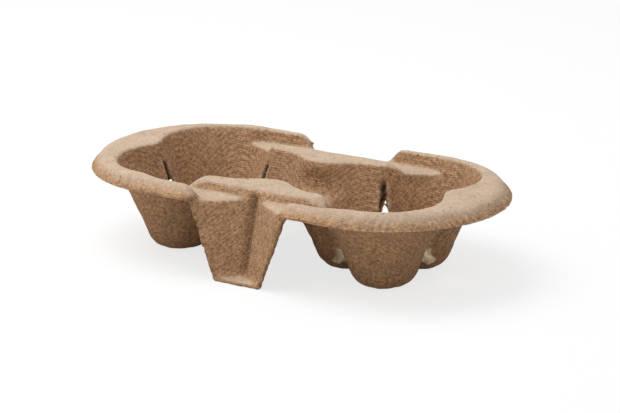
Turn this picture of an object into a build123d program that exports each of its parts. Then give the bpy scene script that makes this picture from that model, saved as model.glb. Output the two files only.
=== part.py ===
from build123d import *
import os
from math import atan2, cos, degrees, radians, sin, sqrt, tan

# Two-cup carrier, moulded from one sheet of paper pulp.
#
# The whole carrier is a single pulp wall of even thickness. Seen from above it is
# a rim, two three-lobed wells for the cups, and a raised divider between them, with
# a low valley through it. The rim is notched on each long side, and there the wall
# folds down to the floor as a V-shaped leg. The wells stand on round toes, one
# under each lobe, and each has slits between the lobes so that it grips its cup.
#
# Frame: X runs along the carrier, Y across it, Z up from the floor that it rests on.
# The origin is on the floor, midway between the wells. Sizes are in millimetres.

# The pulp wall, and the least radius that its under face is rounded with
wall = 2.0
least_rounding = 1.0

# The rim: a long loop round both wells, crowned, with a skirt that leans outwards
# and ends in a lip. Its inner edge and its ends at the notch are rounded too.
overall_length = 220.0
overall_width = 117.2
rim_width = 10.0
rim_height = 45.4
rim_rounding = 7.0
skirt_lean = 4.6
lip = 3.0
end_rounding = 5.0
inner_rounding = 2.0

# The ledge: the low level between the rim's ends, which runs on behind the rim
ledge_height = 38.0
pocket_length = 128.0
pocket_width = overall_width - 2 * rim_width
pocket_corner = 20.0
pocket_lean = 2.1
notch_length = 45.1
notch_lean = 5.75

# The divider: a raised bar on each side of the valley
bar_height = 43.0
bar_foot_length = 84.0
bar_top_length = 66.0
bar_foot_width = 77.0
bar_top_width = 73.0
bar_corner = 6.0
bar_rounding = 2.0

# The wells: three lobes round an upright axis, one of them towards the divider.
# At each level: the height, how far the lobes' centres stand from the axis, the
# lobes' radius, and the radius that rounds the waist between two lobes.
well_spacing = 97.0
lobes = 3
hub_height = 14.0
well_levels = [
    (hub_height, 19.0, 16.6, 4.0),
    (25.0, 19.6, 20.9, 5.5),
    (37.5, 20.5, 25.8, 8.0),
    (44.0, 22.4, 27.3, 9.0),
    (47.0, 23.2, 28.2, 9.5),
]
well_draft = 21.0

# The valley: the way between the wells. At each level: the height and the distance
# from the middle line to the valley's side, where the two wells stand closest.
valley_levels = [
    (24.0, 8.0),
    (28.0, 13.5),
    (38.0, 17.0),
    (47.0, 20.5),
]

# The toes: the round feet under the lobes
toe_rounding = 10.5

# The slits: at each waist a slice is taken off the inside of the wall. Its face is
# a cone about the well's axis, which goes deeper towards the hub and opens the wall.
slit_width = 6.5
slit_start = 13.0
slit_foot_reach = 22.2
slit_top_reach = 31.2
slit_top = 38.0

# The tongues: at each slit's foot the paper is turned out over the hub's edge
tongue_width = 7.5
tongue_rounding = 2.0
tongue_start = 14.0
tongue_bend = 18.5
tongue_end = 27.5
tongue_drop = 4.5

# The legs: a V-shaped fold on each long side, open to the outside
leg_face = overall_width / 2 - lip
leg_foot_width = 26.0
leg_top_width = 54.8
leg_top = 39.5
fold_foot = 48.7
fold_top = 36.2
fold_rounding = 5.0
fold_spare = 1.5
leg_edge_foot = 3.5
leg_edge_top = 4.8
arch_top = 41.5
arch_width = 16.0

# How far cutting shapes run on past what they cut, and past a face beside them,
# and how little two values may differ and still be the same
clear = 5.0
near = 0.25
same = 0.001


def shifted(depth, lean, rise):
    """How far a leaning wall's face shifts sideways at a depth into the wall."""
    return depth * sqrt(lean**2 + rise**2) / rise


def draft_angle(lean, rise):
    """The angle from upright, in degrees, of a wall that leans by lean over rise."""
    return degrees(atan2(lean, rise))


def at_height(levels, height):
    """A level's values at any height, on straight lines through the levels."""
    above = next((i for i, level in enumerate(levels) if level[0] > height), len(levels))
    low_index = min(max(above - 1, 0), len(levels) - 2)
    low, high = levels[low_index], levels[low_index + 1]
    share = (height - low[0]) / (high[0] - low[0])
    return [start + (end - start) * share for start, end in zip(low[1:], high[1:])]


# Each form below takes a depth into the pulp: 0 gives its upper face, and the
# wall's thickness gives its under face, with every wall moved by that much.


def rounded(radius, depth):
    """The radius that rounds an outer edge at a depth into the wall."""
    return max(radius - depth, least_rounding)


def rim_form(depth):
    """The rim as a solid block, before anything is hollowed out of it."""
    rise = rim_height - ledge_height
    drop = clear if depth else 0.0
    spread = drop * skirt_lean / rise - shifted(depth, skirt_lean, rise)
    with BuildPart() as block:
        with BuildSketch(Plane.XY.offset(ledge_height - drop)):
            SlotOverall(overall_length + 2 * spread, overall_width + 2 * spread)
        extrude(amount=rise + drop - depth, taper=draft_angle(skirt_lean, rise))
        fillet(block.faces().sort_by(Axis.Z)[-1].edges(), rounded(rim_rounding, depth))
    return block.part


def notch_form(depth):
    """The gap between the rim's ends, as a prism across the carrier."""
    rise = rim_height - ledge_height
    slope = notch_lean / rise
    over = rise + clear
    foot = notch_length / 2 + shifted(depth, notch_lean, rise) - depth * slope
    top = foot + (over + depth) * slope
    low, high = ledge_height - depth, ledge_height + over
    with BuildPart() as gap:
        with BuildSketch(Plane.XZ):
            Polygon((-foot, low), (foot, low), (top, high), (-top, high), align=None)
        extrude(amount=overall_width, both=True)
    return gap.part


def pocket_form(depth):
    """The hollow behind the rim, down to the ledge's level."""
    rise = rim_height - ledge_height
    spread = shifted(depth, pocket_lean, rise) - depth * pocket_lean / rise
    with BuildPart() as hollow:
        with BuildSketch(Plane.XY.offset(ledge_height - depth)):
            RectangleRounded(
                pocket_length + 2 * spread,
                pocket_width + 2 * spread,
                pocket_corner + spread,
            )
        extrude(amount=rise + depth + clear, taper=-draft_angle(pocket_lean, rise))
    return hollow.part


def bar_form(depth):
    """The divider's raised block, before the wells and the valley open it."""
    rise = bar_height - ledge_height
    end_lean = (bar_foot_length - bar_top_length) / 2
    side_lean = (bar_foot_width - bar_top_width) / 2
    with BuildPart() as block:
        for height in (ledge_height - wall - depth, bar_height - depth):
            share = (height - ledge_height) / rise
            with BuildSketch(Plane.XY.offset(height)):
                RectangleRounded(
                    bar_foot_length - 2 * (end_lean * share + shifted(depth, end_lean, rise)),
                    bar_foot_width - 2 * (side_lean * share + shifted(depth, side_lean, rise)),
                    rounded(bar_corner, depth),
                )
        loft(ruled=True)
        fillet(block.faces().sort_by(Axis.Z)[-1].edges(), rounded(bar_rounding, depth))
    return block.part


def above_ledge():
    """The open space over the ledge: the notch and the pocket, round the bars."""
    with BuildPart() as space:
        add(notch_form(0.0))
        add(pocket_form(0.0))
        add(bar_form(0.0), mode=Mode.SUBTRACT)
    return space.part


def leaning_edges(rim, lean):
    """The edges round the rim's faces of this lean, but for those at their foot."""
    rise = rim_height - ledge_height
    upward = lean / sqrt(lean**2 + rise**2)
    faces = [face for face in rim.faces() if abs(face.normal_at().Z - upward) < same]
    edges = [edge for face in faces for edge in face.edges()]
    outer = [edge for edge in edges if sum(edge.is_same(other) for other in edges) == 1]
    return [edge for edge in outer if edge.center().Z > ledge_height]


def deck_form(depth):
    """Rim, ledge and divider together as one block."""
    with BuildPart() as deck:
        add(rim_form(depth))
        add(notch_form(depth), mode=Mode.SUBTRACT)
        add(pocket_form(depth), mode=Mode.SUBTRACT)
        ends = leaning_edges(deck.part, notch_lean)
        corners = [edge for edge in ends if abs(edge.center().Y) > leg_face - lip]
        fillet(corners, rounded(end_rounding, depth))
        fillet(leaning_edges(deck.part, pocket_lean), rounded(inner_rounding, depth))
        if depth == 0:
            with BuildSketch(Plane.XY.offset(ledge_height - wall)):
                SlotOverall(overall_length - 2 * lip, overall_width - 2 * lip)
            extrude(amount=wall)
        add(bar_form(depth))
    return deck.part


def ring_of_arcs(height, circles):
    """A closed outline from circles that each touch the next, every other one a lobe.

    The arcs run anticlockwise round the lobes and clockwise round the waists.
    """
    with BuildSketch(Plane.XY.offset(height)) as section:
        with BuildLine():
            for index, (centre, radius) in enumerate(circles):
                ends = []
                for other, other_radius in (circles[index - 1], circles[(index + 1) % len(circles)]):
                    ends.append((other - centre) * (radius / (radius + other_radius)))
                start, end = [degrees(atan2(point.Y, point.X)) for point in ends]
                turn = (end - start) % 360 if index % 2 == 0 else -((start - end) % 360)
                middle = centre + around_axis(radius, start + turn / 2)
                ThreePointArc(centre + ends[0], middle, centre + ends[1])
        make_face()
    return section.sketch


def around_axis(distance, angle):
    """A point at a distance and an angle, in degrees, from an upright axis."""
    return Vector(distance * cos(radians(angle)), distance * sin(radians(angle)))


def well_circles(height, depth):
    """The circles of a well's lobes and waists at a height, about the well's axis."""
    reach, radius, waist = at_height(well_levels, height)
    side = depth / cos(radians(well_draft))
    radius, waist = radius + side, waist - side
    half_turn = 180.0 / lobes
    across = reach * sin(radians(half_turn))
    waist_reach = reach * cos(radians(half_turn)) + sqrt((radius + waist) ** 2 - across**2)
    circles = []
    for index in range(lobes):
        angle = (2 * index + 1) * half_turn
        circles.append((around_axis(reach, angle), radius))
        circles.append((around_axis(waist_reach, angle + half_turn), waist))
    return circles


def pair_circles(height, depth):
    """The circles round both wells and the valley's two sides, at a height."""
    lobe_60, waist_120, lobe_180, waist_240, lobe_300, waist_0 = [
        (centre + Vector(well_spacing / 2, 0), radius)
        for centre, radius in well_circles(height, depth)
    ]
    right = [lobe_180, waist_240, lobe_300, waist_0, lobe_60, waist_120, lobe_180]
    left = [(Vector(-centre.X, centre.Y), radius) for centre, radius in reversed(right)]
    centre, radius = lobe_180
    half = at_height(valley_levels, height + depth)[0] + depth / 2
    side = (half**2 + centre.X**2 - radius**2) / (2 * (radius - half))
    back, front = Vector(0, half + side), Vector(0, -half - side)
    return right + [(back, side)] + left + [(front, side)]


def toe_form(depth):
    """One round toe, from the floor up to the hub, about its own upright axis."""
    slope = tan(radians(well_draft))
    side = depth / cos(radians(well_draft))
    low, high = wall - depth, hub_height - depth
    top_radius = well_levels[0][2] + side - depth * slope
    foot_radius = top_radius - (high - low) * slope
    with BuildPart() as toe:
        with BuildSketch(Plane.XZ) as profile:
            Polygon((0, low), (foot_radius, low), (top_radius, high), (0, high), align=None)
            corner = profile.vertices().group_by(Axis.Y)[0].sort_by(Axis.X)[-1]
            fillet(corner, toe_rounding - wall + depth)
        revolve(axis=Axis.Z)
    return toe.part


def both_wells(shape):
    """The shape at the right well, and mirrored at the left one."""
    with BuildPart() as pair:
        with Locations((well_spacing / 2, 0)):
            add(shape)
        mirror(about=Plane.YZ)
    return pair.part


def cups_form(depth):
    """Both wells and the valley as one solid, from the toes to above the rim."""
    heights = [height - depth for height, half in valley_levels[:-1]] + [well_levels[-1][0]]
    with BuildPart() as well:
        loft(
            sections=[
                ring_of_arcs(height, well_circles(height, depth))
                for height in (hub_height - depth, heights[0])
            ]
        )
        with PolarLocations(well_levels[0][1], lobes, start_angle=180.0 / lobes):
            add(toe_form(depth))
    with BuildPart() as cups:
        loft(sections=[ring_of_arcs(height, pair_circles(height, depth)) for height in heights])
        add(both_wells(well.part))
    return cups.part


def slit_form():
    """What one slit takes away, along +X: a slice of a cone about the well's axis."""
    rise = slit_top - hub_height
    with BuildPart(Plane.XY.offset(hub_height)) as slit:
        Cone(slit_foot_reach, slit_top_reach, rise, align=(Align.CENTER, Align.CENTER, Align.MIN))
        with Locations((slit_start, 0, 0)):
            Box(
                slit_top_reach,
                slit_width,
                rise,
                align=(Align.MIN, Align.CENTER, Align.MIN),
                mode=Mode.INTERSECT,
            )
    return slit.part


def tongue_form():
    """The turned-out paper at one slit's foot: flat on the hub, then sloping down."""
    fall = atan2(tongue_drop, tongue_end - tongue_bend)
    tip = hub_height - tongue_drop
    with BuildPart() as tongue:
        with BuildSketch(Plane.XZ):
            Polygon(
                (tongue_start, hub_height),
                (tongue_bend, hub_height),
                (tongue_end, tip),
                (tongue_end - wall * sin(fall), tip - wall * cos(fall)),
                (tongue_bend - wall * tan(fall / 2), hub_height - wall),
                (tongue_start, hub_height - wall),
                align=None,
            )
        extrude(amount=tongue_width / 2, both=True)
        fillet(tongue.edges().group_by(Axis.X)[-2].sort_by(Axis.Y)[::2], tongue_rounding)
    return tongue.part


def leg_half_width(height):
    """Half the leg's width at a height."""
    return (leg_foot_width + (leg_top_width - leg_foot_width) * height / leg_top) / 2


def leg_fold(height):
    """How far from the middle the leg's fold stands at a height."""
    return fold_foot + (fold_top - fold_foot) * height / leg_top


def leg_edge(height):
    """How far the leg's side edges turn in at a height."""
    return leg_edge_foot + (leg_edge_top - leg_edge_foot) * height / leg_top


def leg_section(height):
    """The front leg's wall at a height, left a little thick along the fold."""
    half, fold = leg_half_width(height), leg_fold(height)
    slope = (leg_face - fold) / half
    back = wall * sqrt(1 + slope**2)
    right = [
        (half, -leg_face),
        (half, leg_edge(height) - leg_face),
        (half - wall, leg_edge(height) - leg_face),
        (half - wall, back + slope * wall - leg_face),
    ]
    left = [(-x, y) for x, y in reversed(right)]
    return [(0, -fold - fold_spare)] + right + [(0, back - fold)] + left


def opening_section(height):
    """The space in front of the leg's two faces at a height."""
    half, fold = leg_half_width(height), leg_fold(height)
    slope = (leg_face - fold) / half
    wide = half + near
    corner = -fold - slope * wide
    right = [(wide, corner), (wide, -overall_width)]
    return [(0, -fold)] + right + [(-x, y) for x, y in reversed(right)]


def leg_form():
    """The front leg, with its flat foot, up to the underside of the open space."""
    with BuildPart() as leg:
        for height in (0.0, arch_top):
            with BuildSketch(Plane.XY.offset(height)):
                Polygon(*leg_section(height), align=None)
        loft(ruled=True)
        with BuildSketch():
            Polygon(
                (-leg_foot_width / 2, -leg_face),
                (leg_foot_width / 2, -leg_face),
                (0, -fold_foot),
                align=None,
            )
        extrude(amount=wall)
        add(above_ledge(), mode=Mode.SUBTRACT)
    return leg.part


def leg_opening():
    """What is cut away in front of the front leg, with its arch in the bar."""
    with BuildPart() as opening:
        for height in (wall, arch_top):
            with BuildSketch(Plane.XY.offset(height)):
                Polygon(*opening_section(height), align=None)
        loft(ruled=True)
        fold = opening.edges().filter_by(lambda edge: abs(edge.center().X) < near)
        fillet(fold.sort_by(Axis.Y)[-1:], fold_rounding)
        with Locations((0, 0, leg_top)):
            for side in (-1, 1):
                with Locations((side * (arch_width + overall_width) / 2, 0, 0)):
                    Box(
                        overall_width,
                        3 * overall_width,
                        clear,
                        align=(Align.CENTER, Align.CENTER, Align.MIN),
                        mode=Mode.SUBTRACT,
                    )
    return opening.part


with BuildPart() as under_cups:
    add(cups_form(wall))

with BuildPart() as cup_bodies:
    add(under_cups.part)
    split(bisect_by=Plane.XY.offset(ledge_height - wall + near), keep=Keep.BOTTOM)

with BuildPart() as under_deck:
    add(deck_form(wall))
    add(under_cups.part, mode=Mode.SUBTRACT)

with BuildPart() as slits:
    with PolarLocations(0, lobes):
        add(slit_form())

with BuildPart() as tongues:
    with PolarLocations(0, lobes):
        add(tongue_form())

with BuildPart() as cup_carrier:
    add(deck_form(0.0))
    add(cup_bodies.part)
    add(under_deck.part, mode=Mode.SUBTRACT)
    leg = leg_form()
    add(leg)
    mirror(leg, about=Plane.XZ)
    add(cups_form(0.0), mode=Mode.SUBTRACT)
    opening = leg_opening()
    add(opening, mode=Mode.SUBTRACT)
    mirror(opening, about=Plane.XZ, mode=Mode.SUBTRACT)
    add(both_wells(slits.part), mode=Mode.SUBTRACT)
    add(both_wells(tongues.part))

os.makedirs("parts", exist_ok=True)
cup_carrier.part.label = "cup_carrier"
export_step(cup_carrier.part, "parts/cup_carrier.step")
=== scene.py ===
from math import atan2, cos, exp, hypot, pi, radians, sin

import bmesh
import bpy
from mathutils import Matrix, Vector, noise


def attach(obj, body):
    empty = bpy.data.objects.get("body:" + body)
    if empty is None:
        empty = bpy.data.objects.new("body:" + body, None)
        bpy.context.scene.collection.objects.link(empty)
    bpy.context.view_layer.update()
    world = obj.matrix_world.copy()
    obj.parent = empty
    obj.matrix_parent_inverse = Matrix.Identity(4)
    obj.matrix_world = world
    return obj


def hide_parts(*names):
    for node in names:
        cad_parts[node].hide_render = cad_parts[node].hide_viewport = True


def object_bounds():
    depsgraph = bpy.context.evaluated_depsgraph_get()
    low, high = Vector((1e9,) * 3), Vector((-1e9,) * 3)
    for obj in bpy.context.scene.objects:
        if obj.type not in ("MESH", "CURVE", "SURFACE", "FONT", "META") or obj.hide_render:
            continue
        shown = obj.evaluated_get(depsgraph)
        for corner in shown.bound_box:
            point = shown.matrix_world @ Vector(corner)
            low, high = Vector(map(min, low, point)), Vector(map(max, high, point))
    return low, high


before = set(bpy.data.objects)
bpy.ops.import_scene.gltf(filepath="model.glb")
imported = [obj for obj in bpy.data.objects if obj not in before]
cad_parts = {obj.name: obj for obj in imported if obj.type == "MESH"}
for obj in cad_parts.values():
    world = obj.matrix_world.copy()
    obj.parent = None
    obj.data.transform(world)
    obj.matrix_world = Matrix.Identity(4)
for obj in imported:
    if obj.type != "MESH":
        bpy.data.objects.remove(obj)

cad_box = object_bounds()
bpy.ops.object.select_all(action="DESELECT")

# The carrier
# One sheet of paper pulp, about 2 mm thick. The wet pulp is sucked onto a mould of
# woven wire and dried there, so it has no sharp edge, and its walls swell and dip.
MILLIMETRE = 0.001
MERGE_WITHIN = 0.01 * MILLIMETRE
PULP_GRID = 1.1 * MILLIMETRE

# The drawn form's loose triangles are sewn together, and its surface is then made anew
# on an even grid, fine enough to carry the relief below
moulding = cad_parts["cup_carrier"]
carrier = bpy.data.objects.new("carrier", moulding.data.copy())
bpy.context.scene.collection.objects.link(carrier)
sewing = bmesh.new()
sewing.from_mesh(carrier.data)
bmesh.ops.remove_doubles(sewing, verts=sewing.verts, dist=MERGE_WITHIN)
sewing.to_mesh(carrier.data)
sewing.free()

carrier.select_set(True)
bpy.context.view_layer.objects.active = carrier
screen = carrier.modifiers.new("pulp", "REMESH")
screen.mode = "VOXEL"
screen.voxel_size = PULP_GRID
bpy.ops.object.modifier_apply(modifier=screen.name)

# The carrier's sizes from here on are in millimetres. Seen from above, the rim's outline
# is two half circles with straight sides between them.
RIM_END_CENTRE, RIM_END_RADIUS = 51.4, 58.6


def from_rim_edge(x, y):
    """How far inside the rim's outline a point lies."""
    return RIM_END_RADIUS - hypot(max(abs(x) - RIM_END_CENTRE, 0), y)


def between(low, high, value):
    """Goes smoothly from 0 at low to 1 at high, whichever of them is larger."""
    share = min(max((value - low) / (high - low), 0.0), 1.0)
    return share * share * (3 - 2 * share)


# Every edge is softened. The crests of the wells are rounder than the rest, and the
# lip, which is the rim's outer edge, is more even.
SOFTENING = 0.5
EDGE_STEPS, CREST_STEPS, LIP_STEPS = 5, 6, 10
CREST_HEIGHTS = 33.0, 38.0
LIP_FOOT, LIP_BAND, CREST_BAND = 34.0, 6.0, 10.0
crest = carrier.vertex_groups.new(name="crest")
lip = carrier.vertex_groups.new(name="lip")
for vertex in carrier.data.vertices:
    x, y, z = vertex.co / MILLIMETRE
    inward = from_rim_edge(x, y)
    on_crest = between(*CREST_HEIGHTS, z) * between(LIP_BAND, CREST_BAND, inward)
    on_lip = between(LIP_BAND, LIP_BAND / 2, inward) * between(LIP_FOOT, LIP_FOOT + 1, z)
    crest.add([vertex.index], on_crest, "REPLACE")
    lip.add([vertex.index], on_lip, "REPLACE")

for steps, group in ((EDGE_STEPS, ""), (CREST_STEPS, crest.name), (LIP_STEPS, lip.name)):
    soften = carrier.modifiers.new("soft edges", "SMOOTH")
    soften.factor = SOFTENING
    soften.iterations = steps
    soften.vertex_group = group
    bpy.ops.object.modifier_apply(modifier=soften.name)
bpy.ops.object.shade_smooth()

# The wall swells and dips as it dries, less towards the lip, and the dimples are
# deepest underneath, where the pulp lay free. Each has a height and a size across.
SWELL, SWELL_SIZE = 0.25, 14.0
DIMPLE, DIMPLE_SIZE, DIMPLE_START = 0.16, 4.0, Vector((7, 3, 5))
UNDERNEATH = 0.1, -0.3
CALM_LIP = 0.8
# The leg's fold is pressed in as a groove with painted shade in it, which fades out at the foot
# and the ledge
GROOVE_DEPTH, GROOVE_WIDTH, GROOVE_SHADE = 2.6, 1.7, 0.38
GROOVE_FOOT, GROOVE_TOP = (2.5, 6.0), (41.0, 38.0)
LEGS_FROM = 30.0
# The skirt is hollow just inside its lip, so the lip stands out as a thin bead, which
# is painted pale as a highlight. The softening draws the lip in, and it is moved out again.
HOLLOW_DEPTH, HOLLOW_AT, HOLLOW_WIDTH, HOLLOW_HEIGHTS = 0.7, 2.9, 1.3, (36.0, 38.0)
BEAD_BAND, BEAD_HEIGHTS, BEAD_HIGHLIGHT = (1.7, 0.7), (36.5, 37.5), 0.72
LIP_GROWTH, LIP_FADE = 0.6, 2.0
# The ledges and bars, which lie lower than the rim, get painted shade, so they are a little less
# pale
LEDGE_SHADE, LEDGE_HEIGHTS = 0.13, (42.0, 39.0)
# Each well has slits at the waists between its lobes, a third of a turn apart. They are
# torn open, wider and more ragged at the foot, and their dark inside is painted shade.
WELL_AXIS, WELL_REACH, WAIST_TURN = 48.5, 34.0, 2 * pi / 3
SLIT_HALF, SLIT_FOOT_SHARE, SLIT_TAPER = 1.5, 1.2, 0.5
SLIT_FOOT, SLIT_FOOT_FADE = 15.0, (-1.0, 2.0)
SLIT_TOP, SLIT_TOP_FADE = 37.0, 3.0
SLIT_DEPTH, SLIT_EDGE = 0.9, (0.7, -0.5)
RAGGED_SIZE, RAGGED_START, RAGGED_EDGE = 2.2, Vector((0, 11, 2)), 0.8
# Beside the slit the torn paper stands up, and it is raw
TORN_AT, TORN_WIDTH, TORN_HEIGHT, TORN_EVEN = 1.0, 0.8, 0.7, 0.7
TORN_TONE, TORN_TONE_EVEN = 0.7, 0.6
# At the slit's foot a flap of raw paper is left between the lobes; its paleness is partly painted
# light
FLAP_REACH, FLAP_FULL_REACH, FLAP_END = 18.5, 20.5, 30.0
FLAP_LOW, FLAP_HEIGHTS, FLAP_SIDES, FLAP_ROUGHNESS = 7.0, (15.0, 13.5), (5.2, 4.2), 0.5

# How far each spot faces up tells the pressed upper side of the sheet from its rough
# underside. It also sets painted light where the sheet faces up, and painted shade where
# it faces down. It is kept for the material as it was before this relief.
normals = [vertex.normal.copy() for vertex in carrier.data.vertices]
up = [normal.z for normal in normals]
torn_and_lit = [0.0] * len(normals)
slit_and_groove_shade = [0.0] * len(normals)
for vertex, normal in zip(carrier.data.vertices, normals):
    place = vertex.co / MILLIMETRE
    x, y, z = place
    inward = from_rim_edge(x, y)
    at_lip = between(LIP_BAND, 0.0, inward) * between(LIP_FOOT, LIP_FOOT + LIP_FADE, z)

    dimple = DIMPLE * (1 + between(*UNDERNEATH, normal.z))
    dimple *= noise.noise(place / DIMPLE_SIZE + DIMPLE_START)
    swell = SWELL * noise.noise(place / SWELL_SIZE)
    shift = normal * (1 - CALM_LIP * at_lip) * (swell + dimple)

    if abs(y) > LEGS_FROM:
        groove = exp(-(x / GROOVE_WIDTH) ** 2)
        groove *= between(*GROOVE_FOOT, z) * between(*GROOVE_TOP, z)
        shift.y += -GROOVE_DEPTH * groove if y > 0 else GROOVE_DEPTH * groove
        # Painted shade in the groove
        slit_and_groove_shade[vertex.index] = GROOVE_SHADE * groove

    hollow = exp(-((inward - HOLLOW_AT) / HOLLOW_WIDTH) ** 2) * between(*HOLLOW_HEIGHTS, z)
    shift -= (normal if normal.z > 0 else -normal) * HOLLOW_DEPTH * hollow
    outward = Vector((x - max(min(x, RIM_END_CENTRE), -RIM_END_CENTRE), y, 0)).normalized()
    shift += outward * LIP_GROWTH * at_lip
    bead = between(*BEAD_BAND, inward) * between(*BEAD_HEIGHTS, z)
    # Painted shade on the ledges and bars that lie lower than the rim
    level = normal.z - LEDGE_SHADE * between(*LEDGE_HEIGHTS, z)
    # Painted highlight along the lip's bead
    up[vertex.index] = max(level, BEAD_HIGHLIGHT * bead)

    across = abs(x) - WELL_AXIS
    reach = hypot(across, y)
    turn = (atan2(y, across) + WAIST_TURN / 2) % WAIST_TURN - WAIST_TURN / 2
    aside = abs(reach * sin(turn))
    ragged = noise.noise(place / RAGGED_SIZE + RAGGED_START)
    tall = between(SLIT_FOOT + SLIT_FOOT_FADE[0], SLIT_FOOT + SLIT_FOOT_FADE[1], z)
    tall *= between(SLIT_TOP, SLIT_TOP - SLIT_TOP_FADE, z + SLIT_TOP_FADE * ragged)
    if reach < WELL_REACH and tall > 0:
        taper = SLIT_TAPER * (z - SLIT_FOOT) / (SLIT_TOP - SLIT_FOOT)
        half = SLIT_HALF * (SLIT_FOOT_SHARE - taper) + RAGGED_EDGE * ragged
        opened = between(half + SLIT_EDGE[0], half + SLIT_EDGE[1], aside) * tall
        beside = exp(-((aside - half - TORN_AT) / TORN_WIDTH) ** 2) * tall
        if normal.z > 0:
            shift -= normal * SLIT_DEPTH * opened
            shift += normal * TORN_HEIGHT * beside * (TORN_EVEN + ragged)
        # Painted shade in the slit's opening
        slit_and_groove_shade[vertex.index] = opened
        torn_and_lit[vertex.index] = TORN_TONE * beside * (TORN_TONE_EVEN + ragged)

    if reach < FLAP_END and z > FLAP_LOW:
        flap = between(FLAP_REACH, FLAP_FULL_REACH, reach)
        flap *= between(*FLAP_HEIGHTS, z) * between(*FLAP_SIDES, aside)
        shift += normal * FLAP_ROUGHNESS * flap * ragged
        # The flap is painted pale: raw paper, and partly painted light
        torn_and_lit[vertex.index] = max(torn_and_lit[vertex.index], flap)

    vertex.co += shift * MILLIMETRE
    vertex.co.z = min(max(vertex.co.z, cad_box[0][2]), cad_box[1][2])

for name, values in (("up", up), ("torn_and_lit", torn_and_lit), ("slit_and_groove_shade", slit_and_groove_shade)):
    carrier.data.attributes.new(name, "FLOAT", "POINT").data.foreach_set("value", values)
facing = carrier.data.attributes.new("facing", "FLOAT_VECTOR", "POINT")
facing.data.foreach_set("vector", [value for normal in normals for value in normal])


def linear(hex_colour):
    """Turns an sRGB hex colour to a linear one for a socket."""
    channels = [int(hex_colour[i:i + 2], 16) / 255 for i in (1, 3, 5)]
    return [c / 12.92 if c <= 0.04045 else ((c + 0.055) / 1.055) ** 2.4 for c in channels] + [1]


def add_node(tree, kind, settings=None, inputs=None):
    """Adds a node with its settings, and with its inputs set or linked."""
    made = tree.nodes.new(kind)
    for name, value in (settings or {}).items():
        setattr(made, name, value)
    for name, value in (inputs or {}).items():
        if isinstance(value, bpy.types.NodeSocket):
            tree.links.new(value, made.inputs[name])
        else:
            made.inputs[name].default_value = value
    return made


# Moulded pulp: recycled brown paper, matt, pale and smooth where it faces up, browner
# on the walls, and darkest and most fibrous underneath. The paleness on top is partly
# painted light, and the darkness underneath is partly painted shade.
PALE_AND_LIT, WALL, UNDERSIDE_AND_SHADE, BOTTOM_SHADE = "#C6AE96", "#AB8665", "#785535", "#523620"
RAW_AND_LIT, SLIT_SHADE = "#CDB797", "#3B2A1C"
pulp = bpy.data.materials.new("moulded_paper_pulp")
pulp.use_nodes = True
tree = pulp.node_tree
shader = tree.nodes["Principled BSDF"]
shader.inputs["Roughness"].default_value = 0.9
shader.inputs["Specular IOR Level"].default_value = 0.2

place = add_node(tree, "ShaderNodeTexCoord").outputs["Object"]
kept = {
    name: add_node(tree, "ShaderNodeAttribute", {"attribute_name": name}).outputs[kind]
    for name, kind in (("up", "Fac"), ("torn_and_lit", "Fac"), ("slit_and_groove_shade", "Fac"), ("facing", "Vector"))
}

# The tone goes by the tilt, from 0 at the bottoms of the wells to 1 on the level rim.
# The bottoms' darkest colour is painted shade, the underside's brown is partly painted
# shade, and the top's paleness is partly painted light.
upward = add_node(tree, "ShaderNodeMapRange", inputs={
    "Value": kept["up"], "From Min": -1.0, "From Max": 1.0})
tone_and_light = add_node(tree, "ShaderNodeValToRGB", inputs={"Fac": upward.outputs["Result"]})
tone_and_light.color_ramp.interpolation = "EASE"
stops = tone_and_light.color_ramp.elements
stops[0].position, stops[0].color = 0.15, linear(BOTTOM_SHADE)
stops[1].position, stops[1].color = 0.93, linear(PALE_AND_LIT)
for tilt, paint in ((0.38, UNDERSIDE_AND_SHADE), (0.60, WALL), (0.70, WALL)):
    stops.new(tilt).color = linear(paint)


def per_metre(size):
    """The scale of a noise whose features are of this size in millimetres."""
    return 1 / (size * MILLIMETRE)


# Mottling: clumps of fibre some 7 mm across, and single ones about 1 mm
CLUMP_SIZE, GRAIN_SIZE = 7.0, 1.5
clumps = add_node(tree, "ShaderNodeTexNoise", inputs={
    "Vector": place, "Scale": per_metre(CLUMP_SIZE), "Detail": 4.0, "Roughness": 0.6})
grain = add_node(tree, "ShaderNodeTexNoise", inputs={
    "Vector": place, "Scale": per_metre(GRAIN_SIZE), "Detail": 2.0, "Roughness": 0.7})

# The mould's wire cloth prints crossing diagonal rows of dots on the walls. The real
# rows are 0.7 mm apart; they are drawn wider here, so that they still show. Each wall
# takes the rows that run along it, from the way it faces.
CLOTH_ROWS = 1.15
DIAGONAL = 2 ** 0.5
turned = add_node(tree, "ShaderNodeVectorMath", {"operation": "SCALE"}, {
    0: place, "Scale": 2 * pi * per_metre(CLOTH_ROWS * DIAGONAL)})
waves = add_node(tree, "ShaderNodeVectorMath", {"operation": "COSINE"}, {
    0: turned.outputs["Vector"]})
sides = add_node(tree, "ShaderNodeVectorMath", {"operation": "MULTIPLY"}, {
    0: kept["facing"], 1: kept["facing"]})
sides = add_node(tree, "ShaderNodeVectorMath", {"operation": "MULTIPLY"}, {
    0: sides.outputs["Vector"], 1: (1.0, 1.0, 0.0)})
level_rows = add_node(tree, "ShaderNodeVectorMath", {"operation": "DOT_PRODUCT"}, {
    0: sides.outputs["Vector"], 1: waves.outputs["Vector"]})
upright_rows = add_node(tree, "ShaderNodeSeparateXYZ", inputs={
    "Vector": waves.outputs["Vector"]})
cloth = add_node(tree, "ShaderNodeMath", {"operation": "MULTIPLY"}, {
    0: level_rows.outputs["Value"], 1: upright_rows.outputs["Z"]})

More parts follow.
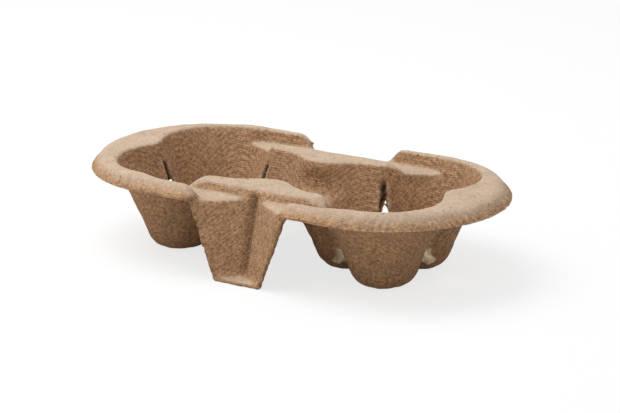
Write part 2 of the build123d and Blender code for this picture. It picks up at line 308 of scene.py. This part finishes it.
# Underneath, the fibres were drawn down the mould's sides and dried in upright wrinkles
FIBRE_SIZE, FIBRE_STRETCH = 1.8, (1.0, 1.0, 0.14)
drawn = add_node(tree, "ShaderNodeMapping", inputs={"Vector": place, "Scale": FIBRE_STRETCH})
fibres = add_node(tree, "ShaderNodeTexNoise", inputs={
    "Vector": drawn.outputs["Vector"], "Scale": per_metre(FIBRE_SIZE),
    "Detail": 3.0, "Roughness": 0.65, "Distortion": 1.5})

# A few dark flecks of unpulped paper, about 1 mm across
FLECK_SPACING = 6.5
flecks = add_node(tree, "ShaderNodeTexVoronoi", inputs={
    "Vector": place, "Scale": per_metre(FLECK_SPACING)})

# Where a pattern shows, by how far the spot faces up, which is 1 on the level, 0 on an
# upright wall and -1 on a bottom. Each row has the two tilts, and the strength at each.
LIMITS = "From Min", "From Max", "To Min", "To Max"
shown = {}
for name, limits in (
    ("off the pressed top", (0.92, 0.70, 0.35, 1.0)),
    ("above", (-0.20, 0.20, 0.0, 1.0)),
    ("below", (0.15, -0.25, 0.0, 1.0)),
    ("off the level", (0.75, 0.45, 0.35, 1.0)),
):
    shown[name] = add_node(tree, "ShaderNodeMapRange", inputs={
        "Value": kept["up"], **dict(zip(LIMITS, limits))}).outputs["Result"]
on_walls = add_node(tree, "ShaderNodeMath", {"operation": "MULTIPLY"}, {
    0: shown["off the pressed top"], 1: shown["above"]}).outputs["Value"]

# What the patterns do there. Each row has the pattern's range, its darkest and lightest
# factor on the colour, where it shows, and its height in millimetres.
shade, height = 1.0, 0.0
for pattern, limits, where, rise in (
    (clumps.outputs["Fac"], (0.30, 0.70, 0.90, 1.08), 1.0, 0.0),
    (flecks.outputs["Distance"], (0.05, 0.13, 0.45, 1.0), 1.0, 0.0),
    (grain.outputs["Fac"], (0.32, 0.68, 0.60, 1.38), shown["off the level"], 0.30),
    (cloth.outputs["Value"], (-0.80, 0.80, 0.74, 1.26), on_walls, 0.05),
    (fibres.outputs["Fac"], (0.32, 0.68, 0.70, 1.26), shown["below"], 0.45),
):
    factor = add_node(tree, "ShaderNodeMapRange", inputs={
        "Value": pattern, **dict(zip(LIMITS, limits))})
    factor = add_node(tree, "ShaderNodeMix", {"data_type": "FLOAT"}, {
        "Factor": where, "A": 1.0, "B": factor.outputs["Result"]})
    shade = add_node(tree, "ShaderNodeMath", {"operation": "MULTIPLY"}, {
        0: shade, 1: factor.outputs["Result"]}).outputs["Value"]
    if rise:
        raised = add_node(tree, "ShaderNodeMath", {"operation": "MULTIPLY"}, {
            0: pattern, 1: where}).outputs["Value"]
        height = add_node(tree, "ShaderNodeMath", {"operation": "MULTIPLY_ADD"}, {
            0: raised, 1: rise, 2: height}).outputs["Value"]

colour = tone_and_light.outputs["Color"]
# Raw paper, partly painted light, on the torn paper and flaps; painted shade in the slits and the
# leg's groove
for where, paint in (("torn_and_lit", RAW_AND_LIT), ("slit_and_groove_shade", SLIT_SHADE)):
    colour = add_node(tree, "ShaderNodeMix", {"data_type": "RGBA"}, {
        "Factor": kept[where], "A": colour, "B": linear(paint)}).outputs["Result"]
shaded = add_node(tree, "ShaderNodeVectorMath", {"operation": "SCALE"}, {
    0: colour, "Scale": shade})
tree.links.new(shaded.outputs["Vector"], shader.inputs["Base Color"])
bump = add_node(tree, "ShaderNodeBump", inputs={"Height": height, "Distance": MILLIMETRE})
tree.links.new(bump.outputs["Normal"], shader.inputs["Normal"])

carrier.data.materials.clear()
carrier.data.materials.append(pulp)
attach(carrier, "root")
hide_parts("cup_carrier")

# The studio
# A white table that takes the carrier's soft shadow, under one big soft lamp in front
# of it on the left, in an even white room. These sizes are in metres.
TABLE_SIZE, TABLE_GLOW = 6, 0.75
bpy.ops.object.select_all(action="DESELECT")
bpy.ops.mesh.primitive_plane_add(size=TABLE_SIZE)
table = bpy.context.object
table.name = "floor"


def add_seen(tree):
    """Adds a value that is 1 for what the camera sees, also in metal or through glass."""
    rays = add_node(tree, "ShaderNodeLightPath").outputs
    seen = rays["Is Camera Ray"]
    for other in ("Is Glossy Ray", "Is Transmission Ray"):
        seen = add_node(tree, "ShaderNodeMath", {"operation": "MAXIMUM"}, {
            0: seen, 1: rays[other]}).outputs["Value"]
    return seen


# Backdrop paper: quite matt, and white also where the light falls off. It has some glow
# of its own where it is seen, and the rest takes the shadow.
paper = bpy.data.materials.new("white_backdrop_paper")
paper.use_nodes = True
tree = paper.node_tree
sheet = tree.nodes["Principled BSDF"]
sheet.inputs["Base Color"].default_value = linear("#FFFFFF")
sheet.inputs["Roughness"].default_value = 1.0
sheet.inputs["Specular IOR Level"].default_value = 0.0
glow = add_node(tree, "ShaderNodeEmission", inputs={"Color": linear("#FFFFFF"), "Strength": 1.0})
share = add_node(tree, "ShaderNodeMath", {"operation": "MULTIPLY"}, {
    0: add_seen(tree), 1: TABLE_GLOW})
look = add_node(tree, "ShaderNodeMixShader", inputs={
    "Fac": share.outputs["Value"], 1: sheet.outputs["BSDF"], 2: glow.outputs["Emission"]})
tree.links.new(look.outputs["Shader"], tree.nodes["Material Output"].inputs["Surface"])
table.data.materials.append(paper)

ROOM_LIGHT, ROOM_SEEN = 0.55, 1.0
room = bpy.data.worlds.new("studio")
bpy.context.scene.world = room
room.use_nodes = True
tree = room.node_tree
strength = add_node(tree, "ShaderNodeMapRange", inputs={
    "Value": add_seen(tree), "To Min": ROOM_LIGHT, "To Max": ROOM_SEEN})
background = tree.nodes["Background"]
background.inputs["Color"].default_value = linear("#FFFFFF")
tree.links.new(strength.outputs["Result"], background.inputs["Strength"])

LAMP_WATTS, LAMP_SIZE, LAMP_PLACE = 8, 0.8, Vector((-0.40, -0.15, 1.0))
lamp = bpy.data.lights.new("softbox", "AREA")
lamp.energy = LAMP_WATTS
lamp.size = LAMP_SIZE
softbox = bpy.data.objects.new("softbox", lamp)
softbox.location = LAMP_PLACE
softbox.rotation_euler = (-LAMP_PLACE).to_track_quat("-Z", "Y").to_euler()
bpy.context.scene.collection.objects.link(softbox)

# The camera
# It stands where the photograph was taken from, low in front and on the right. Its
# place in metres, its turn and its lens come from fitting the carrier's outline.
AZIMUTH, ELEVATION, ROLL = radians(31.698), radians(17.316), -0.004
SENSOR, LENS = 36.0, 128.88
EYE = Vector((0.54820, -0.87589, 0.34646))

forward = Vector((-sin(AZIMUTH) * cos(ELEVATION), cos(AZIMUTH) * cos(ELEVATION), -sin(ELEVATION)))
level = Vector((cos(AZIMUTH), sin(AZIMUTH), 0))
upright = level.cross(forward)
right = level * cos(ROLL) + upright * sin(ROLL)
above = upright * cos(ROLL) - level * sin(ROLL)
turn = Matrix((right, above, -forward)).transposed().to_4x4()
lens = bpy.data.cameras.new("camera")
lens.sensor_width = SENSOR
lens.lens = LENS
camera = bpy.data.objects.new("camera", lens)
camera.matrix_world = Matrix.Translation(EYE) @ turn
bpy.context.scene.collection.objects.link(camera)
bpy.context.scene.camera = camera
bpy.context.scene.view_settings.view_transform = "Standard"
